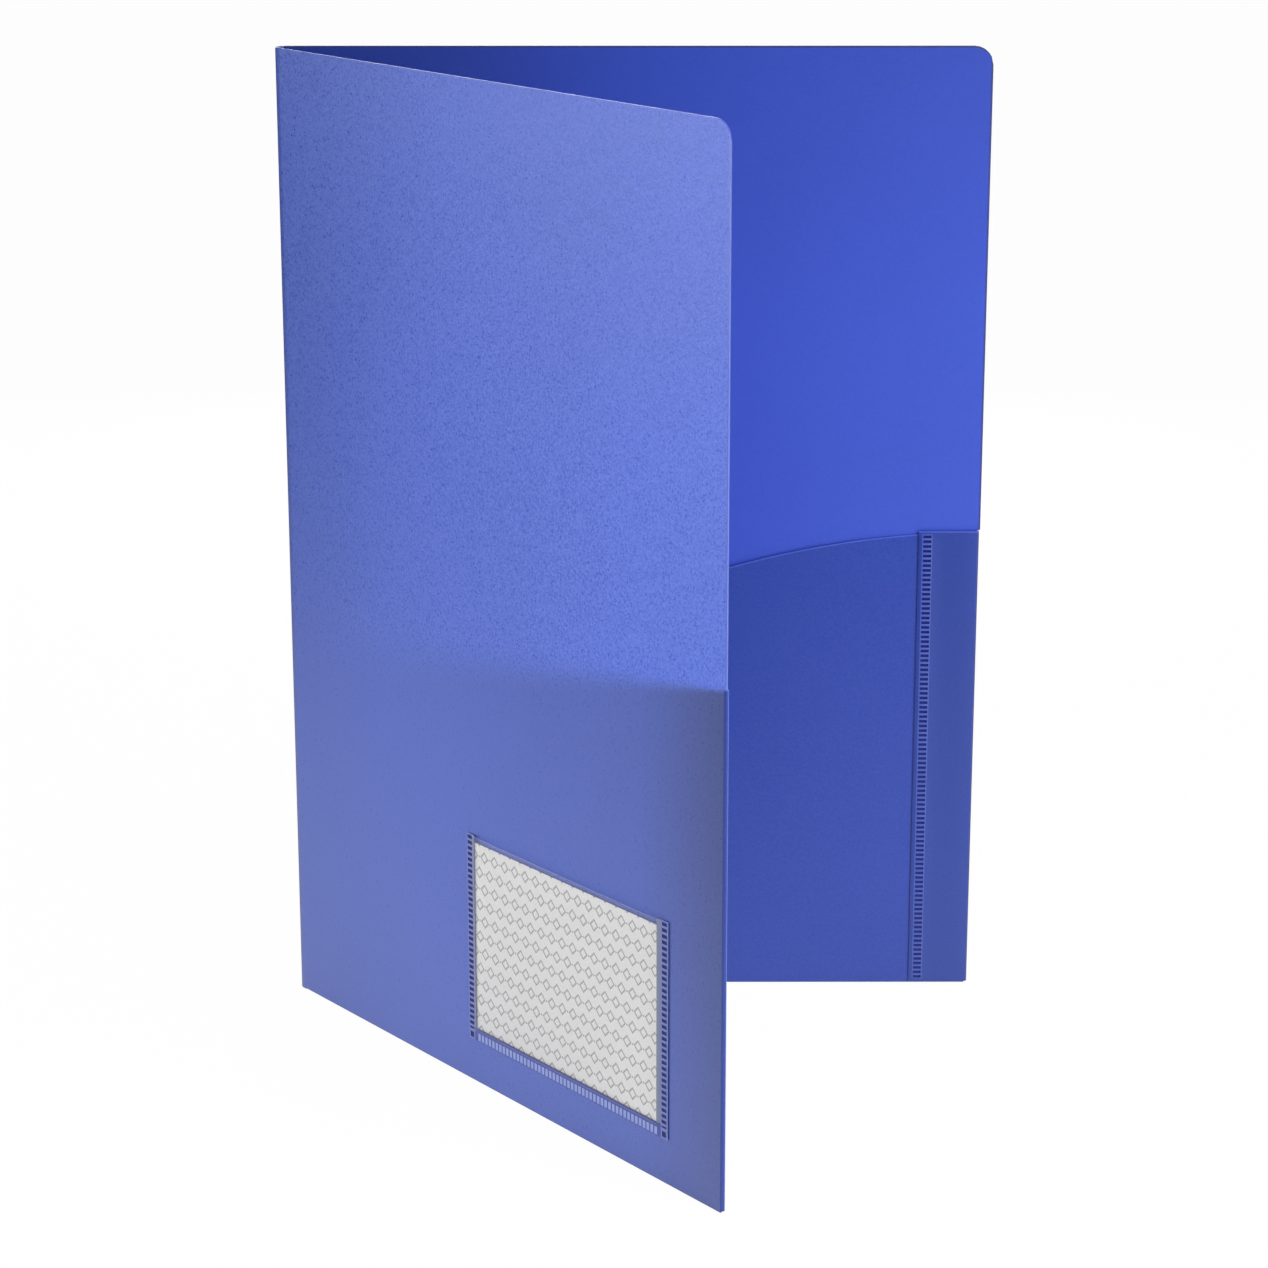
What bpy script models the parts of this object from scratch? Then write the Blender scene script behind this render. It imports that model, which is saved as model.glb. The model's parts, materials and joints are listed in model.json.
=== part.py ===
"""Presentation folder for A4 sheets, folded from one blank of translucent polypropylene.

Two covers meet in a narrow spine with a crease on either side. Each cover has a pocket panel folded up from its
bottom edge and a side flap folded in from its outer edge, which is welded over the panel. A clear film, welded on
three sides, holds a card on the outside of the front cover. The folder stands on its bottom edges, half open.
"""

import math

import bmesh
import bpy
from mathutils import Matrix, Vector

MM = 0.001

# The blank
SHEET = 0.5 * MM
COVER_WIDTH = 220.0 * MM
COVER_HEIGHT = 310.0 * MM
CORNER_RADIUS = 6.0 * MM
SPINE_WIDTH = 4.2 * MM
OPENING_ANGLE = math.radians(52.0)

# The pocket on the inside of each cover
POCKET_HEIGHT = 155.0 * MM
POCKET_ARC_RADIUS = 290.0 * MM
POCKET_FALL = math.radians(16.0)
POCKET_INSET = 3.0 * MM
FLAP_WIDTH = 19.5 * MM
FLAP_RISE = 0.4 * MM
FLAP_FOOT = 1.2 * MM
FOLD_OVERHANG = 0.3 * MM

# The weld on each flap: short bars pressed across the seam
WELD_WIDTH = 2.6 * MM
WELD_EDGE = 1.5 * MM
WELD_PITCH = 1.6 * MM
WELD_BAR = 0.85 * MM
WELD_DEPTH = 0.22 * MM
WELD_END = 1.1 * MM

# The clear film on the outside of the front cover
FILM = 0.2 * MM
FILM_LEFT = 97.5 * MM
FILM_FOOT = 14.2 * MM
FILM_RIM = 3.0 * MM
FILM_STEP = 0.6 * MM
FILM_WELD_WIDTH = 2.2 * MM
FILM_WELD_EDGE = 0.4 * MM
FILM_WELD_PITCH = 1.6 * MM
FILM_WELD_BAR = 0.8 * MM
FILM_WELD_DEPTH = 0.09 * MM
FILM_WELD_END = 1.2 * MM

# The card behind the film
CARD_WIDTH = 89.0 * MM
CARD_HEIGHT = 61.0 * MM
CARD_SHEET = 0.3 * MM
CARD_SIDE_GAP = 0.5 * MM
CARD_SLACK = 1.3 * MM
CARD_MARGIN = 2.1 * MM

# Fits
CLEARANCE = 0.3 * MM

# The film's outline, from the card that it holds
FILM_INSET = FILM_RIM + FILM_STEP
FILM_WIDTH = CARD_WIDTH + CARD_SIDE_GAP + CARD_SLACK + 2 * FILM_INSET
FILM_HEIGHT = FILM_INSET + CLEARANCE + CARD_HEIGHT + CARD_MARGIN

# Facets
FOLD_FACETS = 7
BEAD_FACETS = 8
CORNER_FACETS = 8
POCKET_ARC_FACETS = 12

# Planes, as depths from the middle of a cover's sheet towards its inside
POCKET_DEPTH = SHEET + CLEARANCE
FLAP_DEPTH = POCKET_DEPTH + SHEET + CLEARANCE

# Planes, as depths from the middle of the front cover's sheet towards its outside
CARD_DEPTH = SHEET / 2 + CLEARANCE + CARD_SHEET / 2
RIM_DEPTH = SHEET / 2 + CLEARANCE + FILM / 2
WINDOW_DEPTH = CARD_DEPTH + CARD_SHEET / 2 + CLEARANCE + FILM / 2

# The side fold, which turns the flap in
SIDE_FOLD_REACH = (FLAP_DEPTH + SHEET) / 2
SIDE_FOLD_X = COVER_WIDTH + FOLD_OVERHANG - SIDE_FOLD_REACH
FLAP_TOP = POCKET_HEIGHT + FLAP_RISE
CREASE_ANGLE = (math.pi + OPENING_ANGLE) / 2

BACK_INSIDE = -1
FRONT_INSIDE = 1


def clear_scene():
    for obj in list(bpy.data.objects):
        bpy.data.objects.remove(obj, do_unlink=True)


def make_collection(name, hidden=False):
    collection = bpy.data.collections.new(name)
    collection.hide_render = hidden
    bpy.context.scene.collection.children.link(collection)
    return collection


def make_material(name, colour, roughness, metallic=0.0, transmission=0.0):
    material = bpy.data.materials.new(name)
    material.use_nodes = True
    shader = material.node_tree.nodes["Principled BSDF"]
    shader.inputs["Base Color"].default_value = (*colour, 1.0)
    shader.inputs["Roughness"].default_value = roughness
    shader.inputs["Metallic"].default_value = metallic
    shader.inputs["Transmission Weight"].default_value = transmission
    material.diffuse_color = (*colour, 1.0)
    return material


def place(obj, parent, material, location=(0.0, 0.0, 0.0)):
    obj.parent = parent
    obj.location = location
    obj.data.materials.append(material)
    return obj


def make_empty(name, collection, parent=None, location=(0.0, 0.0, 0.0), turn=0.0):
    empty = bpy.data.objects.new(name, None)
    empty.empty_display_size = 10 * MM
    empty.parent = parent
    empty.location = location
    empty.rotation_euler = (0.0, 0.0, turn)
    collection.objects.link(empty)
    return empty


def arc(centre, radius, start, end, facets):
    """Points along an arc, both ends included, with the angles in radians."""
    steps = [start + (end - start) * i / facets for i in range(facets + 1)]
    return [(centre[0] + radius * math.cos(a), centre[1] + radius * math.sin(a)) for a in steps]


def outline(name, points, thickness, collection):
    """A closed flat outline, as a curve filled on both sides and extruded about its own plane."""
    curve = bpy.data.curves.new(name, "CURVE")
    curve.dimensions = "2D"
    curve.fill_mode = "BOTH"
    curve.extrude = thickness / 2
    spline = curve.splines.new("POLY")
    spline.points.add(len(points) - 1)
    for point, (x, y) in zip(spline.points, points):
        point.co = (x, y, 0.0, 1.0)
    spline.use_cyclic_u = True
    obj = bpy.data.objects.new(name, curve)
    collection.objects.link(obj)
    return obj


def stand_up(obj):
    """Turns an outline drawn in X and Y so that its Y points up."""
    obj.rotation_euler = (math.pi / 2, 0.0, 0.0)
    return obj


def to_mesh(obj, collection):
    """The same shape as a welded mesh, which a cut can use."""
    bpy.context.view_layer.update()
    evaluated = obj.evaluated_get(bpy.context.evaluated_depsgraph_get())
    mesh = bpy.data.meshes.new_from_object(evaluated)
    solid = bmesh.new()
    solid.from_mesh(mesh)
    bmesh.ops.remove_doubles(solid, verts=solid.verts, dist=0.001 * MM)
    bmesh.ops.recalc_face_normals(solid, faces=solid.faces)
    solid.to_mesh(mesh)
    solid.free()
    welded = bpy.data.objects.new(mesh.name, mesh)
    welded.matrix_world = obj.matrix_world.copy()
    bpy.data.objects.remove(obj, do_unlink=True)
    collection.objects.link(welded)
    return welded


def bent_sheet(name, near, far, thickness, collection):
    """A bent sheet: the strip that bridges two rows of points, thickened about its middle."""
    mesh = bpy.data.meshes.new(name)
    strip = bmesh.new()
    edges = []
    for points in (near, far):
        row = [strip.verts.new(point) for point in points]
        edges += [strip.edges.new(pair) for pair in zip(row, row[1:])]
    bmesh.ops.bridge_loops(strip, edges=edges)
    strip.to_mesh(mesh)
    strip.free()
    obj = bpy.data.objects.new(name, mesh)
    collection.objects.link(obj)
    shell = obj.modifiers.new("Thickness", "SOLIDIFY")
    shell.thickness = thickness
    shell.offset = 0.0
    shell.use_even_offset = True
    return obj


def blocks(name, size, centres, collection):
    """Equal blocks in one mesh, one about each centre."""
    mesh = bpy.data.meshes.new(name)
    solid = bmesh.new()
    for centre in centres:
        shape = Matrix.Translation(centre) @ Matrix.Diagonal((*size, 1.0))
        bmesh.ops.create_cube(solid, size=1.0, matrix=shape)
    solid.to_mesh(mesh)
    solid.free()
    obj = bpy.data.objects.new(name, mesh)
    collection.objects.link(obj)
    return obj


def weld_row(first, step, length, pitch, bar):
    """Centres of the bars that fit in a length of weld, from the first one along a unit step."""
    count = 1 + math.floor((length - bar) / pitch)
    return [Vector(first) + Vector(step) * (pitch * i + bar / 2) for i in range(count)]


def cut(obj, cutter, parent):
    cutter.parent = parent
    cutter.hide_render = True
    cutter.display_type = "WIRE"
    boolean = obj.modifiers.new("Cut", "BOOLEAN")
    boolean.operation = "DIFFERENCE"
    boolean.object = cutter
    boolean.solver = "EXACT"


def make_cover(name, parts, parent, material):
    """A cover from its crease to its outer edge. Its lower edges stop short of the two folds."""
    inner = SHEET / 2 + CLEARANCE
    fold_side = SIDE_FOLD_X - CLEARANCE
    fold_line = fold_lift() + CLEARANCE
    step_top = FLAP_TOP + CLEARANCE
    points = [(inner, 0.0), (POCKET_INSET - CLEARANCE, 0.0), (POCKET_INSET - CLEARANCE, fold_line)]
    points += [(fold_side, fold_line), (fold_side, step_top), (COVER_WIDTH, step_top)]
    corner = (COVER_WIDTH - CORNER_RADIUS, COVER_HEIGHT - CORNER_RADIUS)
    points += arc(corner, CORNER_RADIUS, 0.0, math.pi / 2, CORNER_FACETS)
    points += [(inner, COVER_HEIGHT)]
    return place(stand_up(outline(name, points, SHEET, parts)), parent, material)


def fold_lift():
    """Height of the bottom fold's centre, so that its lowest facet lies on the standing plane."""
    return POCKET_DEPTH / 2 * math.cos(math.pi / 2 / FOLD_FACETS) + SHEET / 2


def pocket_edge():
    """The pocket's upper edge from the flap's side to the spine's: an arc, then its tangent."""
    end = SIDE_FOLD_X - CLEARANCE
    top = (COVER_WIDTH, POCKET_HEIGHT - POCKET_ARC_RADIUS)
    curve = arc(top, POCKET_ARC_RADIUS, math.pi / 2, math.pi / 2 + POCKET_FALL, POCKET_ARC_FACETS)
    x, z = curve[-1]
    return [(end + SHEET, POCKET_HEIGHT)] + curve[1:] + [(0.0, z - x * math.tan(POCKET_FALL))]


def make_pocket(name, inside, parts, cutters, parent, material):
    """A pocket panel with the fold that turns it up from the cover's bottom edge."""
    lift = fold_lift()
    turn = arc((POCKET_DEPTH / 2, lift), POCKET_DEPTH / 2, -math.pi, 0.0, FOLD_FACETS)
    profile = turn + [(POCKET_DEPTH, POCKET_HEIGHT + SHEET)]
    end = SIDE_FOLD_X - CLEARANCE
    near = [(POCKET_INSET, inside * depth, z) for depth, z in profile]
    far = [(end, inside * depth, z) for depth, z in profile]
    panel = place(bent_sheet(name, near, far, SHEET, parts), parent, material)
    edge = pocket_edge()
    above = POCKET_HEIGHT + CORNER_RADIUS
    waste = edge + [(0.0, above), (end + SHEET, above)]
    shape = stand_up(outline(name + "_edge", waste, 4 * POCKET_DEPTH, cutters))
    cut(panel, to_mesh(shape, cutters), parent)
    return panel


def make_flap(name, inside, parts, cutters, parent, material):
    """A side flap with the fold that turns it in, and its row of weld bars."""
    centre = (SIDE_FOLD_X, FLAP_DEPTH / 2)
    turn = arc(centre, FLAP_DEPTH / 2, -math.pi / 2, math.pi / 2, FOLD_FACETS)
    free_edge = COVER_WIDTH + FOLD_OVERHANG - FLAP_WIDTH
    profile = turn + [(free_edge, FLAP_DEPTH)]
    near = [(x, inside * depth, FLAP_FOOT) for x, depth in profile]
    far = [(x, inside * depth, FLAP_TOP) for x, depth in profile]
    flap = place(bent_sheet(name, near, far, SHEET, parts), parent, material)

    face = FLAP_DEPTH + SHEET / 2
    first = (free_edge + WELD_EDGE + WELD_WIDTH / 2, inside * face, FLAP_FOOT + WELD_END)
    length = FLAP_TOP - FLAP_FOOT - 2 * WELD_END
    bars = weld_row(first, (0.0, 0.0, 1.0), length, WELD_PITCH, WELD_BAR)
    size = (WELD_WIDTH, 2 * WELD_DEPTH, WELD_BAR)
    cut(flap, blocks(name + "_weld", size, bars, cutters), parent)
    return flap


def make_spine(name, parts, parent, material):
    """The spine strip. Its two rounded edges are the beads of the creases."""
    radius = SHEET / 2
    points = arc((0.0, 0.0), radius, math.pi / 2, 3 * math.pi / 2, BEAD_FACETS)
    points += arc((SPINE_WIDTH, 0.0), radius, -math.pi / 2, math.pi / 2, BEAD_FACETS)
    strip = outline(name, points, COVER_HEIGHT, parts)
    return place(strip, parent, material, (0.0, 0.0, COVER_HEIGHT / 2))


def rim_profile():
    """The film's rim, as distance in from its edge and depth: flat over the weld, then a step up to the window."""
    return [(0.0, RIM_DEPTH), (FILM_RIM, RIM_DEPTH), (FILM_INSET, WINDOW_DEPTH)]


def make_seam(name, inside, edge, parts, cutters, parent, material):
    """One welded rim of the film. Neighbouring rims meet at a mitre."""
    right = FILM_LEFT + FILM_WIDTH
    top = FILM_FOOT + FILM_HEIGHT
    mitre = CLEARANCE / math.sqrt(2)
    near = []
    far = []
    for across, depth in rim_profile():
        y = -inside * depth
        if edge == "bottom":
            near.append((FILM_LEFT + across + mitre, y, FILM_FOOT + across))
            far.append((right - across - mitre, y, FILM_FOOT + across))
        else:
            x = FILM_LEFT + across if edge == "left" else right - across
            near.append((x, y, FILM_FOOT + across + mitre))
            far.append((x, y, top))
    seam = place(bent_sheet(name, near, far, FILM, parts), parent, material)

    face = -inside * (RIM_DEPTH + FILM / 2)
    middle = FILM_WELD_EDGE + FILM_WELD_WIDTH / 2
    corner = FILM_RIM + CLEARANCE
    if edge == "bottom":
        first = (FILM_LEFT + corner, face, FILM_FOOT + middle)
        step = (1.0, 0.0, 0.0)
        length = FILM_WIDTH - 2 * corner
        size = (FILM_WELD_BAR, 2 * FILM_WELD_DEPTH, FILM_WELD_WIDTH)
    else:
        first = (FILM_LEFT + middle if edge == "left" else right - middle, face, FILM_FOOT + corner)
        step = (0.0, 0.0, 1.0)
        length = FILM_HEIGHT - corner - FILM_WELD_END
        size = (FILM_WELD_WIDTH, 2 * FILM_WELD_DEPTH, FILM_WELD_BAR)
    bars = weld_row(first, step, length, FILM_WELD_PITCH, FILM_WELD_BAR)
    cut(seam, blocks(name + "_weld", size, bars, cutters), parent)
    return seam


def make_window(name, inside, parts, parent, material):
    """The film's flat middle, open at the top and a clearance away from the three rims."""
    inset = FILM_INSET + CLEARANCE
    left = FILM_LEFT + inset
    right = FILM_LEFT + FILM_WIDTH - inset
    foot = FILM_FOOT + inset
    top = FILM_FOOT + FILM_HEIGHT
    centre = ((left + right) / 2, -inside * WINDOW_DEPTH, (foot + top) / 2)
    window = blocks(name, (right - left, FILM, top - foot), [centre], parts)
    return place(window, parent, material)


def make_card(name, inside, parts, parent, material):
    """The card, which slides up out of the film. Its origin is the middle of its bottom edge."""
    left = FILM_LEFT + FILM_INSET + CARD_SIDE_GAP
    foot = FILM_FOOT + FILM_INSET + CLEARANCE
    card = blocks(name, (CARD_WIDTH, CARD_SHEET, CARD_HEIGHT), [(0.0, 0.0, CARD_HEIGHT / 2)], parts)
    return place(card, parent, material, (left + CARD_WIDTH / 2, -inside * CARD_DEPTH, foot))


def centre_on_base(root, parts):
    """Moves the whole folder so that the middle of its footprint is at the origin."""
    bpy.context.view_layer.update()
    graph = bpy.context.evaluated_depsgraph_get()
    low = Vector((math.inf, math.inf))
    high = Vector((-math.inf, -math.inf))
    for obj in parts.objects:
        if obj.type == "EMPTY":
            continue
        evaluated = obj.evaluated_get(graph)
        mesh = evaluated.to_mesh()
        for vertex in mesh.vertices:
            spot = evaluated.matrix_world @ vertex.co
            low = Vector((min(low.x, spot.x), min(low.y, spot.y)))
            high = Vector((max(high.x, spot.x), max(high.y, spot.y)))
        evaluated.to_mesh_clear()
    root.location = (-(low.x + high.x) / 2, -(low.y + high.y) / 2, 0.0)


def main():
    clear_scene()
    parts = make_collection("presentation_folder")
    cutters = make_collection("cutters", hidden=True)

    outer_plastic = make_material("cover_polypropylene", (0.075, 0.105, 0.42), 0.42)
    pocket_plastic = make_material("pocket_polypropylene", (0.055, 0.08, 0.37), 0.42)
    flap_plastic = make_material("flap_polypropylene", (0.05, 0.08, 0.33), 0.45)
    spine_plastic = make_material("spine_polypropylene", (0.06, 0.085, 0.36), 0.4)
    clear_film = make_material("clear_film", (0.9, 0.92, 0.95), 0.12, transmission=0.9)
    card_stock = make_material("card_stock", (0.72, 0.72, 0.71), 0.7)

    root = make_empty("folder_base", parts)
    back_crease = make_empty("back_crease", parts, root, turn=-CREASE_ANGLE)
    front_crease = make_empty(
        "front_crease", parts, back_crease, (SPINE_WIDTH, 0.0, 0.0), math.pi - CREASE_ANGLE
    )

    make_cover("back_cover", parts, root, outer_plastic)
    make_pocket("back_pocket", BACK_INSIDE, parts, cutters, root, pocket_plastic)
    make_flap("back_flap", BACK_INSIDE, parts, cutters, root, flap_plastic)
    make_spine("spine", parts, back_crease, spine_plastic)
    make_cover("front_cover", parts, front_crease, outer_plastic)
    make_pocket("front_pocket", FRONT_INSIDE, parts, cutters, front_crease, pocket_plastic)
    make_flap("front_flap", FRONT_INSIDE, parts, cutters, front_crease, flap_plastic)
    for edge in ("left", "right", "bottom"):
        make_seam("card_seam_" + edge, FRONT_INSIDE, edge, parts, cutters, front_crease, clear_film)
    make_window("card_window", FRONT_INSIDE, parts, front_crease, clear_film)
    make_card("card", FRONT_INSIDE, parts, front_crease, card_stock)
    centre_on_base(root, parts)


main()
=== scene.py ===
import json
import math

import bmesh
import bpy
from mathutils import Matrix, Vector, noise


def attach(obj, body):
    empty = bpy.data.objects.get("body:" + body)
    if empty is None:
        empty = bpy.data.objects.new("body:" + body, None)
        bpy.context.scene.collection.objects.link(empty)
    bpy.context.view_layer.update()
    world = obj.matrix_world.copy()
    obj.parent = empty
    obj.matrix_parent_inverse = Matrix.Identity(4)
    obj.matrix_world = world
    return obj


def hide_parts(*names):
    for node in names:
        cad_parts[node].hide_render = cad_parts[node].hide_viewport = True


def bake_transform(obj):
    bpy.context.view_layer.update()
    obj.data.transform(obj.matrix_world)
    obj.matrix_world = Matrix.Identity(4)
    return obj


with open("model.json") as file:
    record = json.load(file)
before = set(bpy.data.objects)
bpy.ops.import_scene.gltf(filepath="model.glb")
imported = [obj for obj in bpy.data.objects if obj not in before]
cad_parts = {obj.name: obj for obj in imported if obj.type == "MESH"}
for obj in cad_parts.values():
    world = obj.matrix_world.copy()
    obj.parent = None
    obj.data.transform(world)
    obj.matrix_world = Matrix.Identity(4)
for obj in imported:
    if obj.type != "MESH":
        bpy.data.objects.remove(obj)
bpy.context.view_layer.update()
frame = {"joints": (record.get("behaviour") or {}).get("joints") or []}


# The back leaf
#
# Half of the die-cut blank, in 0.5 mm translucent polypropylene: the back cover, a pocket panel folded up from its
# bottom edge, and a side flap folded in over the panel and welded to it by a row of short bars, pressed by a hot
# tool across the seam. It is one sheet, so it is one mesh.

MM = 0.001
SHEET = 0.5
RIM_BEVEL = 0.08
COVER_WIDTH = 220.0
COVER_HEIGHT = 310.0
CORNER_RADIUS = 6.0
CREASE_SHOULDER = 0.7
CUT_EDGE = 0.6
FOLD_STEPS = 7
COVER_ROWS = 17

POCKET_HEIGHT = 155.0
POCKET_ARC_RADIUS = 290.0
POCKET_FALL = math.radians(16.0)
POCKET_INSET = 3.0
POCKET_DEPTH = 0.58
POCKET_END = 218.7
POCKET_COLUMNS = 24
POCKET_ROWS = 16
BOTTOM_FOLD = 0.54
BACK_GAPE = 1.6
GAPE_POWER = 1.6

FLAP_DEPTH = 1.15
FLAP_FOOT = 0.7
FLAP_TOP = 155.4
FLAP_EDGE = 200.2
SIDE_FOLD = 218.8
SIDE_FOLD_SKIN = 0.2
SIDE_CUT_SLOPE = 0.25
LIP = 0.3
# A face is part of a lip or cut edge when its middle lies within this share of it.
LIP_SHARE = 0.75

# Where the mesh has lines across the blank: beside the crease, before the weld, behind the flap, and on the flap
CREASE_LINE = 2.9
WELD_LINE = 200.0
FLAP_LINES = (207.0, 211.0, 214.0, 215.6, 217.0, 217.7)
FLAP_FACE_LINES = (214.0, 209.0)

WELD_EDGE = 1.5
WELD_WIDTH = 2.6
WELD_BAR = 0.85
WELD_PITCH = 1.6
WELD_DEPTH = 0.22
WELD_WALL = 0.1
WELD_END = 0.9

# The sheet's material numbers on its outer side. The same order follows for its inner side, then for its rim.
SHEET_REGIONS = 7
ON_COVER, ON_POCKET, ON_FLAP, ON_WELD, ON_LIP, ON_EDGE, ON_RIDGE = range(SHEET_REGIONS)

SAME_POINT = 0.0001
RIM_ANGLE = math.radians(80.0)
SHARP_ANGLE = math.radians(28.0)

# The back leaf's inner side faces the viewer, along -Y.
BACK_INSIDE = -1


def crease_place(joint_name, turn):
    """The frame of a panel that starts at a crease: X along the panel, Z up, turned about the upright crease."""
    joint = next(j for j in frame["joints"] if j["name"] == joint_name)
    x, y, _ = joint["pos_m"]
    return Matrix.Translation((x, y, 0.0)) @ Matrix.Rotation(turn, 4, "Z")


def steps(start, end, count):
    return [start + (end - start) * i / count for i in range(count + 1)]


def pocket_top(u):
    """Height of the pocket panel's upper edge: an arc by the flap, then its tangent down to the spine."""
    join = COVER_WIDTH - POCKET_ARC_RADIUS * math.sin(POCKET_FALL)
    away = COVER_WIDTH - max(u, join)
    height = POCKET_HEIGHT - POCKET_ARC_RADIUS + math.sqrt(POCKET_ARC_RADIUS**2 - away**2)
    return height - max(join - u, 0.0) * math.tan(POCKET_FALL)


def cover_top(u):
    """Height of the cover's upper edge, with its outer corner rounded."""
    over = max(u - (COVER_WIDTH - CORNER_RADIUS), 0.0)
    return COVER_HEIGHT - CORNER_RADIUS + math.sqrt(max(CORNER_RADIUS**2 - over**2, 0.0))


def half_turn(depth):
    """Places on a fold of the given depth: how far each lies past the fold's centre, and how deep."""
    turn = [math.pi * i / FOLD_STEPS for i in range(FOLD_STEPS + 1)]
    return [(depth / 2 * math.sin(a), depth / 2 - depth / 2 * math.cos(a)) for a in turn]


def grid(mesh, columns, region):
    """Faces between neighbouring columns of points, all of the same count, with the sheet's outer side out."""
    rows = [[mesh.verts.new(point) for point in column] for column in columns]
    for left, right in zip(rows, rows[1:]):
        for (a, b), (d, c) in zip(zip(left, left[1:]), zip(right, right[1:])):
            face = mesh.faces.new((a, d, c, b))
            face.material_index = region


def press_bars(mesh, faces, margin, wall, depth, bar, ridge):
    """Presses a bar into each of the given cells, with a ridge of flat sheet round it and sloping walls."""
    mesh.normal_update()
    for face in bmesh.ops.inset_individual(mesh, faces=faces, thickness=margin, depth=0.0)["faces"]:
        face.material_index = ridge
    walls = bmesh.ops.inset_individual(mesh, faces=faces, thickness=wall, depth=-depth)["faces"]
    for face in faces + walls:
        face.material_index = bar


def finished_mesh(sheet, name):
    """Turns a sheet drawn in mm into a mesh in metres."""
    bmesh.ops.scale(sheet, vec=(MM, MM, MM), verts=sheet.verts)
    mesh = bpy.data.meshes.new(name)
    sheet.to_mesh(mesh)
    sheet.free()
    return mesh


def leaf_mesh(name, inside, gape):
    """The middle surface of a leaf, in mm: u along the cover, w deep towards the inside, z up."""
    sheet = bmesh.new()
    front = inside != BACK_INSIDE
    across = [CREASE_SHOULDER, CREASE_LINE, POCKET_INSET]
    across += steps(POCKET_INSET, WELD_LINE, POCKET_COLUMNS)[1:]
    across += [*FLAP_LINES, POCKET_END, SIDE_FOLD]
    beyond = [COVER_WIDTH - CUT_EDGE, COVER_WIDTH]

    bars = round((FLAP_TOP - FLAP_FOOT - 2 * WELD_END) / WELD_PITCH)
    weld_rows = steps(FLAP_FOOT + WELD_END, FLAP_TOP - WELD_END, bars)
    flap_rows = [FLAP_FOOT] + weld_rows + [FLAP_TOP - LIP, FLAP_TOP]

    # Cover, below and above the flap's top
    lower = []
    for u in across:
        foot = 0.0 if u < POCKET_INSET else BOTTOM_FOLD
        lower.append([(u, 0.0, z) for z in [foot] + flap_rows])
    grid(sheet, lower, ON_COVER)
    upper = []
    for u in across + beyond:
        low = FLAP_TOP + SIDE_CUT_SLOPE * max(u - SIDE_FOLD, 0.0)
        high = cover_top(u)
        upper.append([(u, 0.0, z) for z in steps(low, high - CUT_EDGE, COVER_ROWS) + [high]])
    grid(sheet, upper, ON_COVER)

    # Bottom fold and pocket panel, which gapes towards its free corner at the spine
    panel = []
    for u in across:
        if u < POCKET_INSET or u > POCKET_END:
            continue
        top = pocket_top(u)
        free = max(1.0 - ((u - POCKET_INSET) / (FLAP_EDGE - POCKET_INSET)) ** 2, 0.0)
        column = [(u, deep, BOTTOM_FOLD - past) for past, deep in half_turn(POCKET_DEPTH)]
        for z in steps(BOTTOM_FOLD, top - LIP, POCKET_ROWS)[1:] + [top]:
            rise = (z - BOTTOM_FOLD) / (top - BOTTOM_FOLD)
            column.append((u, POCKET_DEPTH + gape * free * rise**GAPE_POWER, z))
        panel.append(column[::-1])
    grid(sheet, panel, ON_POCKET)

    # Side fold and flap
    margin = (WELD_PITCH - WELD_BAR) / 2
    weld_left = FLAP_EDGE + WELD_EDGE - margin
    weld_right = FLAP_EDGE + WELD_EDGE + WELD_WIDTH + margin
    path = [(SIDE_FOLD + past, deep) for past, deep in half_turn(FLAP_DEPTH)]
    path += [(u, FLAP_DEPTH) for u in (*FLAP_FACE_LINES, weld_right, weld_left, FLAP_EDGE)]
    grid(sheet, [[(u, w, z) for z in flap_rows] for u, w in path], ON_FLAP)

    # The cells of the weld, and the cut and folded edges, which take a painted highlight or painted shade by the
    # way they face
    bmesh.ops.remove_doubles(sheet, verts=sheet.verts, dist=SAME_POINT)
    cells = []
    for face in sheet.faces:
        u, w, z = face.calc_center_median()
        on_flap = face.material_index == ON_FLAP
        on_fold = u > SIDE_FOLD + SIDE_FOLD_SKIN and z < FLAP_TOP
        if on_flap and weld_left < u < weld_right and weld_rows[0] < z < weld_rows[-1]:
            cells.append(face)
        flap_lip = on_flap and z > FLAP_TOP - LIP
        pocket_lip = face.material_index == ON_POCKET and z > pocket_top(u) - LIP_SHARE * LIP
        far_fold = front and on_fold and w > FLAP_DEPTH / 2
        top_edge = not front and z > cover_top(u) - LIP_SHARE * CUT_EDGE
        side_edge = z > FLAP_TOP and u > COVER_WIDTH - CUT_EDGE
        if flap_lip or pocket_lip or far_fold:
            face.material_index = ON_LIP
        elif top_edge or side_edge or (on_fold and not front):
            face.material_index = ON_EDGE
    press_bars(sheet, cells, margin, WELD_WALL, WELD_DEPTH, ON_WELD, ON_RIDGE)

    for vert in sheet.verts:
        vert.co.y *= inside
    if inside == BACK_INSIDE:
        bmesh.ops.reverse_faces(sheet, faces=sheet.faces)
    return finished_mesh(sheet, name)


def piece(name, mesh, place, materials):
    obj = bpy.data.objects.new(name, mesh)
    bpy.context.scene.collection.objects.link(obj)
    obj.matrix_world = place
    for material in materials:
        obj.data.materials.append(material)
    return obj


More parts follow.
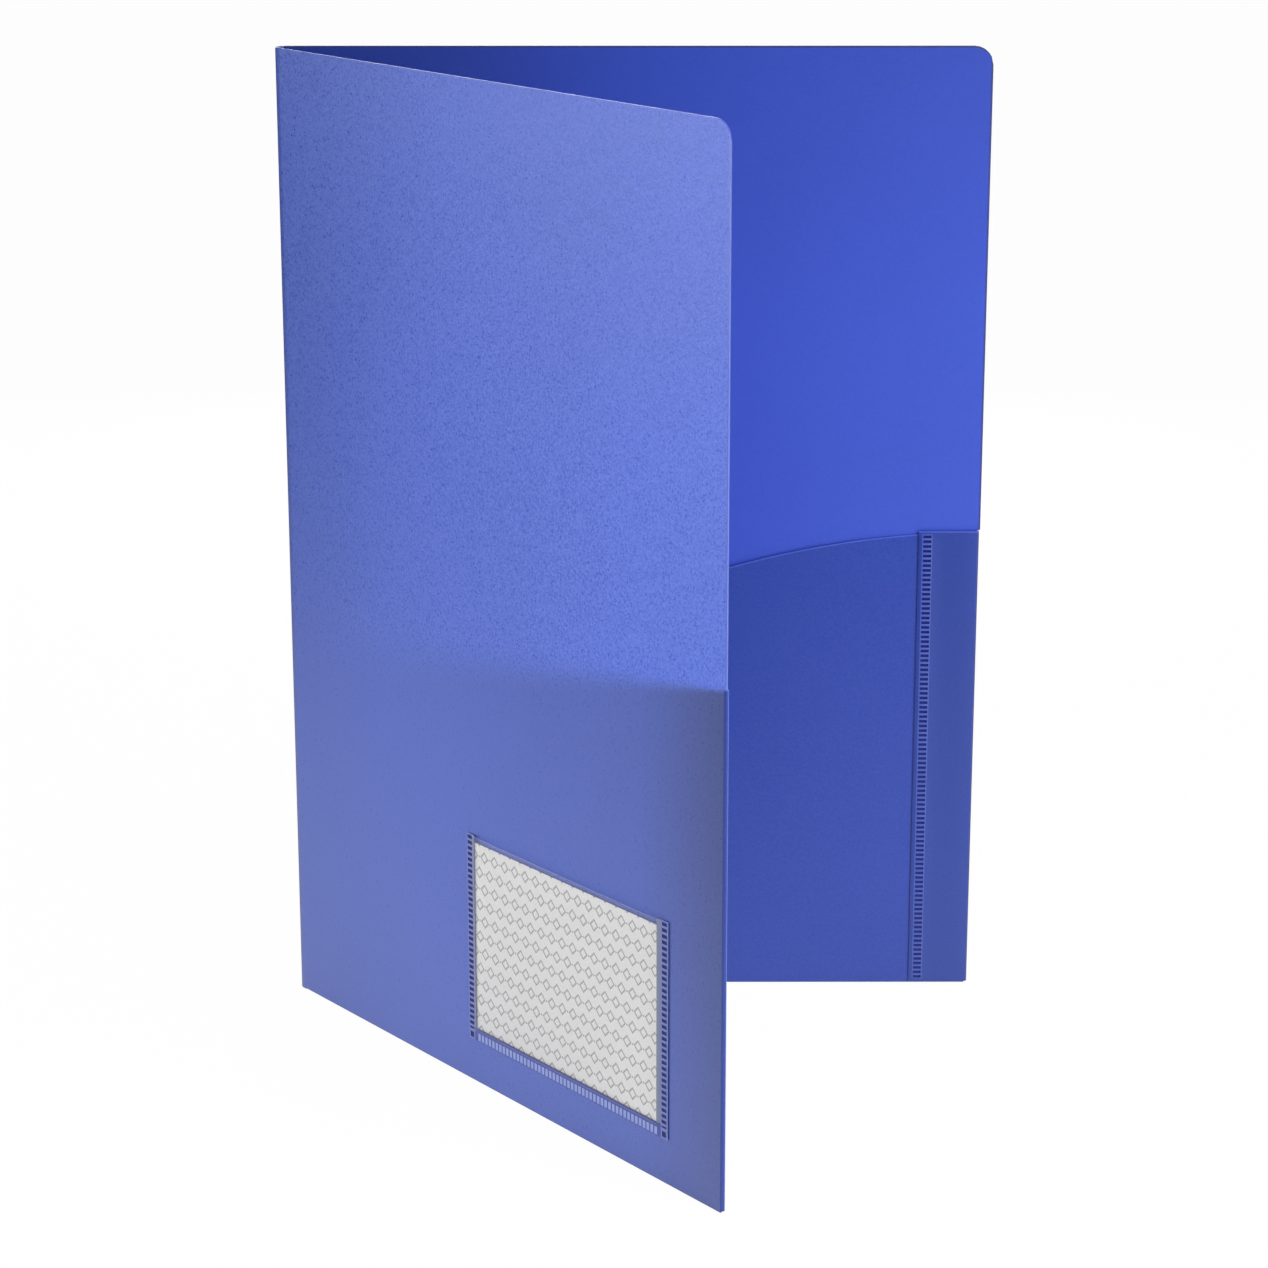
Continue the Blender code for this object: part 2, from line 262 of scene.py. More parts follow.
def thicken(obj, thickness, regions, rim_bevel=0.0):
    """Gives a middle surface its thickness, and smooths it except at sharp edges.

    The inner side takes the material numbers after the outer side's regions, and the rim those after them.
    """
    shell = obj.modifiers.new("Thickness", "SOLIDIFY")
    shell.thickness = thickness * MM
    shell.offset = 0.0
    shell.use_even_offset = True
    shell.material_offset = regions
    shell.material_offset_rim = 2 * regions
    if rim_bevel:
        bevel = obj.modifiers.new("Rim", "BEVEL")
        bevel.width = rim_bevel * MM
        bevel.segments = 2
        bevel.limit_method = "ANGLE"
        bevel.angle_limit = RIM_ANGLE
    bpy.context.view_layer.update()
    done = bpy.data.meshes.new_from_object(obj.evaluated_get(bpy.context.evaluated_depsgraph_get()))
    obj.modifiers.clear()
    obj.data = done
    done.polygons.foreach_set("use_smooth", [True] * len(done.polygons))
    done.set_sharp_from_angle(angle=SHARP_ANGLE)


def linear(hex_colour):
    """An sRGB hex colour as linear RGBA."""
    parts = [int(hex_colour[i:i + 2], 16) / 255 for i in (1, 3, 5)]
    return (*[c / 12.92 if c <= 0.04045 else ((c + 0.055) / 1.055) ** 2.4 for c in parts], 1.0)


def add(material, kind, inputs=None, **settings):
    """Adds a node. An input is a value, an output socket, or a node whose first output feeds it.

    Inputs 1 to 4 of a Map Range are the ends of its two ranges. A colour Mix has its factor as input 0 and its
    colours as inputs 6 and 7.
    """
    tree = material.node_tree
    node = tree.nodes.new("ShaderNode" + kind)
    for key, value in settings.items():
        setattr(node, key, value)
    for key, value in (inputs or {}).items():
        socket = node.inputs[key]
        if isinstance(value, bpy.types.Node):
            value = value.outputs[0]
        if isinstance(value, bpy.types.NodeSocket):
            tree.links.new(value, socket)
        elif socket.type == "VECTOR":
            socket.default_value = value[:3]
        else:
            socket.default_value = value
    return node


def new_material(name):
    material = bpy.data.materials.new(name)
    material.use_nodes = True
    material.node_tree.nodes.clear()
    return material


def finish_material(material, shader):
    add(material, "OutputMaterial", {"Surface": shader})
    return material


def in_mm(material):
    """A place on the piece in mm: X along the panel, Z up."""
    place = add(material, "TexCoord").outputs["Object"]
    return add(material, "Mapping", {"Vector": place, "Scale": (1 / MM, 1 / MM, 1 / MM)})


POLYPROPYLENE_IOR = 1.49
# The calender's pebble grain is about 0.1 mm, too fine to show, so its pebbles and specks are drawn 0.7 mm wide.
PEBBLES_PER_MM = 1.5
PEBBLE_SHARE = 0.5
SPECKS_PER_MM = 1.4
# The most that a fleck of grain and painted glint adds to the sheet's red, green and blue
SPECK_AND_GLINT_TINT = (0.07, 0.085, 0.15)
GLINT_FADE_BEHIND_POCKET = 0.8
GLINT_AT_SPINE = 0.45
GRAIN_HEIGHT = 0.1
GRAIN_GLOSS = 0.13
# Uneven cooling leaves clouds of about 80 mm.
CLOUDS_PER_MM = 0.012
CLOUD_DEPTH = 0.03
# Most of a noise lies between these two values.
NOISE_LOW = 0.3
NOISE_HIGH = 0.7
# The pocket's painted shade on the cover. For each mm from the cover's outer edge its edge lies lower, and is
# softer.
PAINTED_SHADE_FALL = 0.165
PAINTED_SHADE_BLUR = 0.14
PAINTED_SHADE_BLUR_LEAST = 2.0
PAINTED_PANEL_SHADE = 0.45
PAINTED_FLAP_SHADE = 0.24
PAINTED_FLAP_SHADE_START = 182.2
PAINTED_SHADE_AT_SPINE = 0.82
PAINTED_LIGHT_AT_EDGE = 1.25
SCORE_LEFT = 1.9
SCORE_RIGHT = 2.5
SCORE_PAINTED_SHADE = 0.78
GLINT_REACH = 150.0
PAINTED_GLOW_HEIGHT = 150.0
PAINTED_TABLE_GLOW_BLUE = "#B8C4FF"
PAINTED_GLOW_OUTSIDE = 0.1
PAINTED_GLOW_INSIDE = 0.045


def pocket_shade_mask(material, u, z):
    """How far a place on the cover lies behind the pocket, from 0 to 1: the mask of the pocket's painted shade.

    The edge is sharp by the flap, where the layers touch, and softer towards the spine, where the panel gapes.
    """
    away = add(material, "Math", {0: COVER_WIDTH, 1: u}, operation="SUBTRACT")
    edge = add(material, "Math", {0: away, 1: -PAINTED_SHADE_FALL, 2: FLAP_TOP}, operation="MULTIPLY_ADD")
    blur = add(material, "Math", {0: away, 1: PAINTED_SHADE_BLUR, 2: PAINTED_SHADE_BLUR_LEAST}, operation="MULTIPLY_ADD")
    below = add(material, "Math", {0: edge, 1: z}, operation="SUBTRACT")
    below = add(material, "Math", {0: below, 1: blur}, operation="DIVIDE")
    below = add(material, "Math", {0: below, 1: 0.5}, operation="ADD", use_clamp=True)
    return add(material, "MapRange", {"Value": below}, interpolation_type="SMOOTHSTEP")


def polypropylene(name, colour, grain=0.1, rough=0.42, paints_cover_light=False, crease_shade=1.0, crease_reach=60.0):
    """Extruded polypropylene sheet, calendered with a fine pebble grain: satin, with a fine speckle in its sheen
    that is partly painted glints.

    The sheet is translucent. Its colour holds painted shade that makes it deeper blue near the spine, where little
    light comes from behind, and a painted reflection of the white table that lightens it towards the foot. On the
    cover it holds the painted shade of the pocket, most of the flap, and of a line along the crease, and painted
    light towards the cover's free edge.
    """
    material = new_material(name)
    place = in_mm(material)
    split = add(material, "SeparateXYZ", {"Vector": place})
    u, z = split.outputs["X"], split.outputs["Z"]

    # The grain
    pebble = add(material, "TexVoronoi", {"Vector": place, "Scale": PEBBLES_PER_MM}, feature="SMOOTH_F1")
    fine = add(material, "TexNoise", {"Vector": place, "Scale": SPECKS_PER_MM, "Detail": 3.0, "Roughness": 0.8})
    height = add(material, "Math", {0: pebble, 1: PEBBLE_SHARE, 2: fine}, operation="MULTIPLY_ADD")
    speck_and_glint = add(material, "MapRange", {"Value": fine, 1: NOISE_LOW, 2: NOISE_HIGH, 3: -grain, 4: grain})
    gloss = add(material, "MapRange", {
        "Value": fine, 1: NOISE_LOW, 2: NOISE_HIGH, 3: rough - GRAIN_GLOSS * grain, 4: rough + GRAIN_GLOSS * grain})

    # The depth of the blue
    cloud = add(material, "TexNoise", {"Vector": place, "Scale": CLOUDS_PER_MM})
    wide = add(material, "MapRange", {
        "Value": cloud, 1: NOISE_LOW, 2: NOISE_HIGH, 3: 1 - CLOUD_DEPTH, 4: 1 + CLOUD_DEPTH})
    # Painted shade, darker towards the crease
    tone = add(material, "MapRange", {
        "Value": u, 1: 0.0, 2: crease_reach, 3: crease_shade, 4: 1.0}, interpolation_type="SMOOTHSTEP")
    tone = add(material, "Math", {0: tone, 1: wide}, operation="MULTIPLY")
    if paints_cover_light:
        # Painted shade of the pocket panel behind the translucent cover, strongest where the flap lies behind it
        below = pocket_shade_mask(material, u, z)
        part = add(material, "Math", {0: u, 1: COVER_WIDTH}, operation="DIVIDE", use_clamp=True)
        flap = add(material, "MapRange", {
            "Value": u, 1: PAINTED_FLAP_SHADE_START, 2: COVER_WIDTH, 3: 0.0, 4: PAINTED_FLAP_SHADE})
        layers = add(material, "Math", {0: part, 1: PAINTED_PANEL_SHADE, 2: flap}, operation="MULTIPLY_ADD")
        shade = add(material, "Math", {0: below, 1: layers}, operation="MULTIPLY")
        lit = add(material, "Math", {0: 1.0, 1: shade}, operation="SUBTRACT")
        # Painted light: darker near the spine, lighter towards the cover's free edge
        deep = add(material, "MapRange", {
            "Value": u, 1: 0.0, 2: COVER_WIDTH, 3: PAINTED_SHADE_AT_SPINE, 4: PAINTED_LIGHT_AT_EDGE})
        # Painted shade in a thin line along the crease
        crease_line_shade = add(material, "MapRange", {
            "Value": u, 1: SCORE_LEFT, 2: SCORE_RIGHT, 3: SCORE_PAINTED_SHADE, 4: 1.0})
        for factor in (lit, deep, crease_line_shade):
            tone = add(material, "Math", {0: tone, 1: factor}, operation="MULTIPLY")

        # The speckle, partly painted glint, and the grain's bump are fainter where the pocket backs the sheet, and
        # near the spine, where the sheen is weaker
        grain_and_glint_strength = add(material, "Math", {0: below, 1: -GLINT_FADE_BEHIND_POCKET, 2: 1.0}, operation="MULTIPLY_ADD")
        satin = add(material, "MapRange", {"Value": u, 1: 0.0, 2: GLINT_REACH, 3: GLINT_AT_SPINE, 4: 1.0})
        grain_and_glint_strength = add(material, "Math", {0: grain_and_glint_strength, 1: satin}, operation="MULTIPLY")
        speck_and_glint = add(material, "Math", {0: speck_and_glint, 1: grain_and_glint_strength}, operation="MULTIPLY")
        height = add(material, "Math", {0: height, 1: grain_and_glint_strength}, operation="MULTIPLY")

    tinted = add(material, "VectorMath", {0: linear(colour), "Scale": tone}, operation="SCALE")
    # Grain speckle, partly a painted glint, added to the base colour
    tinted = add(material, "VectorMath", {0: speck_and_glint, 1: SPECK_AND_GLINT_TINT, 2: tinted}, operation="MULTIPLY_ADD")
    # Painted reflection of the white table: a light blue mixed in, most at the foot
    table_glow_share = add(material, "MapRange", {
        "Value": z, 1: 0.0, 2: PAINTED_GLOW_HEIGHT, 3: PAINTED_GLOW_OUTSIDE if paints_cover_light else PAINTED_GLOW_INSIDE, 4: 0.0})
    table_glow_mixed = add(material, "Mix", {0: table_glow_share, 6: tinted, 7: linear(PAINTED_TABLE_GLOW_BLUE)}, data_type="RGBA")
    bump = add(material, "Bump", {"Height": height, "Strength": grain, "Distance": GRAIN_HEIGHT * MM})
    shader = add(material, "BsdfPrincipled", {
        "Base Color": table_glow_mixed.outputs[2], "Roughness": gloss, "Normal": bump, "IOR": POLYPROPYLENE_IOR})
    return finish_material(material, shader)


# The grained side faces out of the blank: a satin blue, with painted shade near the crease and of the pocket behind
# it, and painted light towards its free edge.
outside_sheet = polypropylene(
    "polypropylene_grained_outside", "#4B68D1", grain=1.0, rough=0.36, paints_cover_light=True, crease_shade=0.87,
    crease_reach=90.0)
# The smooth side lies inside: a deep, even blue, with painted shade that darkens it towards the fold of the spine.
inside_sheet = polypropylene(
    "polypropylene_smooth_inside", "#314DBD", grain=0.08, crease_shade=0.6, crease_reach=150.0)
# Two and three layers together let less light through, so the panel and the flap are darker copies of the sheet:
# painted shade.
pocket_sheet_painted_shade = polypropylene("polypropylene_pocket_panel_painted_shade", "#193A9C", grain=0.15)
flap_sheet_painted_shade = polypropylene("polypropylene_welded_flap_painted_shade", "#16358E", grain=0.12)
# A weld bar is pressed thin and dull; its navy is painted shade in the recess. The ridge round it is squeezed up,
# and its lighter blue is a painted glint.
weld_bar_painted_shade = polypropylene("polypropylene_pressed_weld_painted_shade", "#060F70", rough=0.9)
weld_ridge_painted_glint = polypropylene("polypropylene_weld_ridge_painted_glint", "#3B55AA", rough=0.35)
# A lip draws a light line, a painted highlight. A cut edge that faces away from the light is darkened with painted
# shade.
lip_painted_highlight = polypropylene("polypropylene_lip_painted_highlight", "#4A5EBC", rough=0.35)
edge_painted_shade = polypropylene("polypropylene_cut_edge_painted_shade", "#2C387C", rough=0.5)

# The finishes of the outer side, of the inner side, and of the cut rim, each in the order of the material numbers
back_sides = [outside_sheet, pocket_sheet_painted_shade, flap_sheet_painted_shade, weld_bar_painted_shade, lip_painted_highlight, edge_painted_shade, weld_ridge_painted_glint]
back_sides += [inside_sheet] * ON_EDGE + [edge_painted_shade, inside_sheet]
back_sides += [edge_painted_shade, lip_painted_highlight, lip_painted_highlight, edge_painted_shade, lip_painted_highlight, edge_painted_shade, edge_painted_shade]

back_place = crease_place("back_crease", 0.0)
back_leaf = piece("back_leaf", leaf_mesh("back_leaf", BACK_INSIDE, BACK_GAPE), back_place, back_sides)
thicken(back_leaf, SHEET, SHEET_REGIONS, RIM_BEVEL)
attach(back_leaf, "back")
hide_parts("back_cover", "back_pocket", "back_flap")


# The front leaf
#
# The other half of the blank, die-cut, folded and welded in the same way, but handed. It turns about the crease
# on the other side of the spine, and its pocket lies closer.

OPENING = math.radians(52.0)
FRONT_INSIDE = 1
FRONT_GAPE = 0.2

# This leaf's cut edge faces the light, which runs along inside the sheet and out of it; its glow is a painted
# highlight.
edge_painted_glow = polypropylene("polypropylene_cut_edge_painted_glow", "#5A6EC8", rough=0.35)
front_sides = [outside_sheet, pocket_sheet_painted_shade, flap_sheet_painted_shade, weld_bar_painted_shade, lip_painted_highlight, edge_painted_glow, weld_ridge_painted_glint]
front_sides += [inside_sheet] * SHEET_REGIONS + [edge_painted_glow] * SHEET_REGIONS

front_place = crease_place("front_crease", -OPENING)
front_leaf = piece("front_leaf", leaf_mesh("front_leaf", FRONT_INSIDE, FRONT_GAPE), front_place, front_sides)
thicken(front_leaf, SHEET, SHEET_REGIONS, RIM_BEVEL)
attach(front_leaf, "front")
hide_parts("front_cover", "front_pocket", "front_flap")


# The spine and its two creases
#
# The strip of the blank between two pressed score lines. The press thins the sheet to a web of about 0.26 mm
# along each crease, which folds as a living hinge.

SPINE_WIDTH = 4.2
SPINE_CROWN = 0.12
SPINE_COLUMNS = 6
STRIP_ROWS = 30
WEB = 0.26
WEB_TONGUE = 1.0
WEB_BEND = 0.45
WEB_END = 0.05
WEB_COLUMNS = 8

spine_turn = -(math.pi + OPENING) / 2
spine_place = crease_place("back_crease", spine_turn)


def strip_mesh(name, path, rows):
    """A strip of middle surface: a path across, in mm, carried up the folder's height."""
    sheet = bmesh.new()
    grid(sheet, [[(x, y, z) for z in rows] for x, y in path], ON_COVER)
    return finished_mesh(sheet, name)


spine_path = []
for x in steps(CREASE_SHOULDER, SPINE_WIDTH - CREASE_SHOULDER, SPINE_COLUMNS):
    bow = 1 - ((x - SPINE_WIDTH / 2) / (SPINE_WIDTH / 2 - CREASE_SHOULDER)) ** 2
    spine_path.append((x, -SPINE_CROWN * bow))
spine_mesh = strip_mesh("spine_strip", spine_path, steps(0.0, COVER_HEIGHT, STRIP_ROWS))
spine = piece("spine_strip", spine_mesh, spine_place, [outside_sheet, inside_sheet, edge_painted_shade])
thicken(spine, SHEET, 1, RIM_BEVEL)
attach(spine, "spine")
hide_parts("spine")

# A crease is pressed smooth, so it draws a thin shiny line. Its greyer, darker blue is painted shade in the fold.
web_painted_shade = polypropylene("polypropylene_pressed_crease_painted_shade", "#3A4794", grain=0.2, rough=0.3)


def crease_web(name, centre, first_way, last_way):
    """The thinned web of a crease at rest, from a tongue in one panel round to a tongue in the other."""
    path = [first_way * WEB_TONGUE]
    for t in steps(0.0, 1.0, WEB_COLUMNS):
        path.append(first_way * WEB_BEND * (1 - t) ** 2 + last_way * WEB_BEND * t**2)
    path.append(last_way * WEB_TONGUE)
    points = [(centre.x / MM + p.x, centre.y / MM + p.y) for p in path]
    mesh = strip_mesh(name, points, steps(WEB_END, COVER_HEIGHT - WEB_END, STRIP_ROWS))
    web = piece(name, mesh, Matrix.Identity(4), [web_painted_shade] * 3)
    thicken(web, WEB, 1)
    return web


back_way = Vector((1, 0, 0))
spine_way = spine_place.to_3x3() @ Vector((1, 0, 0))
front_way = front_place.to_3x3() @ Vector((1, 0, 0))
back_axis = back_place.translation
front_axis = front_place.translation
back_web = crease_web("back_crease_web", back_axis, back_way, spine_way)
front_web = crease_web("front_crease_web", front_axis, front_way, -spine_way)
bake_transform(back_web)
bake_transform(front_web)


# The card pocket
#
# Clear, glossy film on the outside of the front cover, welded on three sides by the same kind of barred tool and
# open at the top. It is held off the cover by the card's thickness, and its open edge stands a little proud.

FILM = 0.2
FILM_LEFT = 97.5
FILM_RIGHT = 195.5
FILM_FOOT = 14.2
FILM_TOP = 81.2
FILM_RIM = 3.0
FILM_STEP = 1.4
FILM_COLUMNS = 49
FILM_ROWS = 34
FILM_BAR_MARGIN = 0.52
FILM_BAR_WALL = 0.2
FILM_BAR_DEPTH = 0.15
FILM_CORNER_MARGIN = 1.6 * FILM_BAR_MARGIN
FILM_RIB_MARGIN = 0.4
FILM_RIB_WALL = 0.1
FILM_RIB_HEIGHT = 0.08
RIM_DEPTH = 0.65
WINDOW_DEPTH = 1.25
FILM_LIP = 0.35
FILM_LIP_REACH = 5.0
FILM_HOLD_REACH = 12.0
FILM_WAVE = 0.22
WAVES_ACROSS = 0.045
WAVES_UP = 0.06
WAVE_START = 3.7

# The film's material numbers, as for the sheet
FILM_REGIONS = 6
ON_RIM, ON_WINDOW, ON_BAR, ON_RIB, ON_SLOPE, ON_FOOT = range(FILM_REGIONS)

flat_left = FILM_LEFT + FILM_RIM
flat_right = FILM_RIGHT - FILM_RIM
flat_foot = FILM_FOOT + FILM_RIM
film_columns = [FILM_LEFT, flat_left] + steps(flat_left + FILM_STEP, flat_right - FILM_STEP, FILM_COLUMNS)
film_columns += [flat_right, FILM_RIGHT]
film_rows = [FILM_FOOT, flat_foot] + steps(flat_foot + FILM_STEP, FILM_TOP, FILM_ROWS)


def film_depth(u, z):
    """How far the film's middle stands off the middle of the cover's sheet."""
    inset = min(u - FILM_LEFT, FILM_RIGHT - u, z - FILM_FOOT) - FILM_RIM
    if inset <= SAME_POINT:
        return RIM_DEPTH
    lip = FILM_LIP * max(1 - (FILM_TOP - z) / FILM_LIP_REACH, 0.0) ** 2
    hold = min(inset / FILM_HOLD_REACH, 1.0)
    wave = noise.noise((u * WAVES_ACROSS, z * WAVES_UP, WAVE_START)) * 0.5 + 0.5
    return WINDOW_DEPTH + hold * (lip + FILM_WAVE * wave)


film_sheet = bmesh.new()
grid(film_sheet, [[(u, -film_depth(u, z), z) for z in film_rows] for u in film_columns], ON_WINDOW)
side_cells = []
foot_cells = []
corner_cells = []
for face in film_sheet.faces:
    u, _, z = face.calc_center_median()
    side = u < flat_left or u > flat_right
    foot = z < flat_foot
    side_slope = u < flat_left + FILM_STEP or u > flat_right - FILM_STEP
    if side:
        face.material_index = ON_RIM
    elif z < flat_foot + FILM_STEP:
        face.material_index = ON_FOOT
    elif side_slope:
        face.material_index = ON_SLOPE
    if side:
        (corner_cells if foot else side_cells).append(face)
    elif foot and not side_slope:
        foot_cells.append(face)
press_bars(film_sheet, side_cells, FILM_BAR_MARGIN, FILM_BAR_WALL, FILM_BAR_DEPTH, ON_BAR, ON_RIM)
press_bars(film_sheet, corner_cells, FILM_CORNER_MARGIN, FILM_BAR_WALL, FILM_BAR_DEPTH, ON_BAR, ON_RIM)
press_bars(film_sheet, foot_cells, FILM_RIB_MARGIN, FILM_RIB_WALL, -FILM_RIB_HEIGHT, ON_RIB, ON_FOOT)
film_mesh = finished_mesh(film_sheet, "card_pocket_film")

# Thin film ripples about every 11 mm.
RIPPLES_PER_MM = 0.09
RIPPLE_HEIGHT = 0.4
RIPPLE_STRENGTH = 0.25
MIRROR_POWER = 5.0


def clear_film(name, tint, haze, haze_share, rough):
    """Cast polypropylene film: clear, with a bright, rippled gloss that grows at a slant, and a slight haze."""
    material = new_material(name)
    ripple = add(material, "TexNoise", {"Vector": in_mm(material), "Scale": RIPPLES_PER_MM})
    bump = add(material, "Bump", {"Height": ripple, "Strength": RIPPLE_STRENGTH, "Distance": RIPPLE_HEIGHT * MM})
    clear = add(material, "BsdfTransparent", {"Color": linear(tint)})
    gloss = add(material, "BsdfPrincipled", {
        "Base Color": linear(haze), "Roughness": rough, "Normal": bump, "IOR": POLYPROPYLENE_IOR})
    facing = add(material, "LayerWeight", {"Blend": 0.5, "Normal": bump}).outputs["Facing"]
    mirror = add(material, "Math", {0: facing, 1: MIRROR_POWER}, operation="POWER")
    share = add(material, "Math", {0: mirror, 1: haze_share}, operation="ADD", use_clamp=True)
    return finish_material(material, add(material, "MixShader", {0: share, 1: clear, 2: gloss}))


# Flat film is all but invisible. Pulled over the card's edge it turns milky, and its cut edge is lit with a painted
# highlight.
window_film = clear_film("clear_film_window", "#FCFCFC", "#DCDDE0", 0.05, 0.08)
slope_film = clear_film("clear_film_pulled_slope", "#D0D4E0", "#A9B1CC", 0.5, 0.3)
film_edge_painted_highlight = clear_film("clear_film_cut_edge_painted_highlight", "#E4E9FA", "#D0D4F6", 0.8, 0.3)
# Where it is welded, it is fused to the blue sheet and takes its colour. The bars and the foot round the ribs are
# darkened with painted shade, and the ribs are lightened with a painted highlight.
rim_film = polypropylene("clear_film_fused_rim", "#6C7AC0", rough=0.35)
bar_film_painted_shade = polypropylene("clear_film_pressed_bar_painted_shade", "#0C1668", rough=0.8)
rib_film_painted_highlight = polypropylene("clear_film_raised_rib_painted_highlight", "#93A3E0", rough=0.35)
foot_film_painted_shade = polypropylene("clear_film_fused_foot_painted_shade", "#2E3E98", rough=0.35)
film_sides = [rim_film, window_film, bar_film_painted_shade, rib_film_painted_highlight, slope_film, foot_film_painted_shade]

film = piece("card_pocket_film", film_mesh, front_place, film_sides * 2 + [film_edge_painted_highlight] * FILM_REGIONS)
thicken(film, FILM, FILM_REGIONS)
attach(film, "front")
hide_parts("card_window", "card_seam_left", "card_seam_right", "card_seam_bottom")


# The card
#
# A slip of off-white uncoated card, 89 by 61 mm, guillotined and loose behind the film. It carries a plain grey
# pattern of small diamonds and dots, as a printed filler card does.

CARD_LEFT = 101.6
CARD_FOOT = 18.1
CARD_WIDTH = 89.0
CARD_HEIGHT = 61.0
CARD_SHEET = 0.3
CARD_DEPTH = 0.7
CARD_BEVEL = 0.05
CARD_COLUMNS = 12
CARD_ROWS = 8
MOTIF_PITCH = 5.2
MOTIF_REACH = 1.7
MOTIF_LINE = 0.77
MOTIF_DOT = 0.42
INK_WORN = 0.75
CARD_IOR = 1.5
# Paper fibres are about 0.03 mm wide, too fine to show, so they are drawn 0.7 mm wide.
FIBRES_PER_MM = 1.4
FIBRE_HEIGHT = 0.03
FIBRE_STRENGTH = 0.2
FIBRE_SHADE = 0.03

card_sheet = bmesh.new()
card_columns = steps(CARD_LEFT, CARD_LEFT + CARD_WIDTH, CARD_COLUMNS)
card_rows = steps(CARD_FOOT, CARD_FOOT + CARD_HEIGHT, CARD_ROWS)
grid(card_sheet, [[(u, -CARD_DEPTH, z) for z in card_rows] for u in card_columns], ON_COVER)


def card_stock(name, paper, ink):
    """Uncoated card: matt, with a soft fibre grain. The pattern is printed in a thin, slightly broken grey."""
    material = new_material(name)
    place = in_mm(material)
    split = add(material, "SeparateXYZ", {"Vector": place})

    # Every second row is shifted by half a pitch. Ping-pong gives the distance to the nearest side of a cell.
    row = add(material, "Math", {0: split.outputs["Z"], 1: MOTIF_PITCH}, operation="DIVIDE")
    whole = add(material, "Math", {0: row}, operation="FLOOR")
    odd = add(material, "Math", {0: whole, 1: 2.0}, operation="FLOORED_MODULO")
    column = add(material, "Math", {0: split.outputs["X"], 1: MOTIF_PITCH}, operation="DIVIDE")
    column = add(material, "Math", {0: odd, 1: 0.5, 2: column}, operation="MULTIPLY_ADD")
    across = add(material, "Math", {0: column, 1: 0.5}, operation="PINGPONG")
    up = add(material, "Math", {0: row, 1: 0.5}, operation="PINGPONG")

    # A diamond is a band at a set distance from a cell's middle, and a dot lies halfway between two diamonds
    both = add(material, "Math", {0: across, 1: up}, operation="ADD")
    diamond = add(material, "Math", {
        0: both, 1: 1 - MOTIF_REACH / MOTIF_PITCH, 2: MOTIF_LINE / MOTIF_PITCH / 2}, operation="COMPARE")
    beside = add(material, "Math", {0: across, 1: up}, operation="SUBTRACT")
    dot = add(material, "Math", {0: beside, 1: MOTIF_DOT / MOTIF_PITCH - 0.5}, operation="LESS_THAN")
    marks = add(material, "Math", {0: diamond, 1: dot}, operation="MAXIMUM")

    fibre = add(material, "TexNoise", {"Vector": place, "Scale": FIBRES_PER_MM, "Detail": 4.0, "Roughness": 0.7})
    broken = add(material, "MapRange", {"Value": fibre, 1: NOISE_LOW, 2: NOISE_HIGH, 3: INK_WORN, 4: 1.0})
    marks = add(material, "Math", {0: marks, 1: broken}, operation="MULTIPLY")
    inked = add(material, "Mix", {0: marks, 6: linear(paper), 7: linear(ink)}, data_type="RGBA").outputs[2]
    tone = add(material, "MapRange", {
        "Value": fibre, 1: NOISE_LOW, 2: NOISE_HIGH, 3: 1 - FIBRE_SHADE, 4: 1 + FIBRE_SHADE})
    colour = add(material, "VectorMath", {0: inked, "Scale": tone}, operation="SCALE")
    bump = add(material, "Bump", {"Height": fibre, "Strength": FIBRE_STRENGTH, "Distance": FIBRE_HEIGHT * MM})
    shader = add(material, "BsdfPrincipled", {
        "Base Color": colour, "Roughness": 0.75, "Normal": bump, "IOR": CARD_IOR})
    return finish_material(material, shader)


printed_card = card_stock("uncoated_card_printed", "#F9F8F6", "#AAA9A7")
card = piece("card_slip", finished_mesh(card_sheet, "card_slip"), front_place, [printed_card] * 3)
thicken(card, CARD_SHEET, 1, CARD_BEVEL)
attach(card, "card")
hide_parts("card")


# The table and the studio
#
# A plain white laminate table under a plain white surround, lit by softboxes. The table keeps the folder's soft
# shadow. Near the folder it glows white in the plastic's reflections, a painted reflection that fades with
# distance.

TABLE_SIZE = 6.0
TABLE_CELLS = 8
TABLE_DROP = 0.0001
TABLE_SEEN = 0.98
TABLE_REFLECTED_GLOW = 0.95
REFLECTED_GLOW_FROM = 0.3
REFLECTED_GLOW_TO = 0.75
MOTTLES_PER_METRE = 40.0
SURROUND_LIGHT = 0.15

table_sheet = bmesh.new()
bmesh.ops.create_grid(table_sheet, x_segments=TABLE_CELLS, y_segments=TABLE_CELLS, size=TABLE_SIZE)
table_mesh = bpy.data.meshes.new("white_table")
table_sheet.to_mesh(table_mesh)
table_sheet.free()

# Matt white laminate, pressed flat: even, with a trace of mottle every 25 mm. It is seen as pure white.
white = new_material("white_laminate")
place = add(white, "TexCoord").outputs["Object"]
mottle = add(white, "TexNoise", {"Vector": place, "Scale": MOTTLES_PER_METRE})
shade = add(white, "MapRange", {"Value": mottle, 3: 0.87, 4: 0.89})
lit = add(white, "BsdfDiffuse", {"Color": shade})
glow = add(white, "Emission", {"Color": linear("#FFFFFF"), "Strength": 1.0})
ray = add(white, "LightPath").outputs
seen = add(white, "Math", {0: ray["Is Camera Ray"], 1: ray["Is Transmission Ray"]}, operation="MAXIMUM")
seen = add(white, "Math", {0: seen, 1: TABLE_SEEN}, operation="MULTIPLY")
away = add(white, "VectorMath", {0: place}, operation="LENGTH").outputs["Value"]
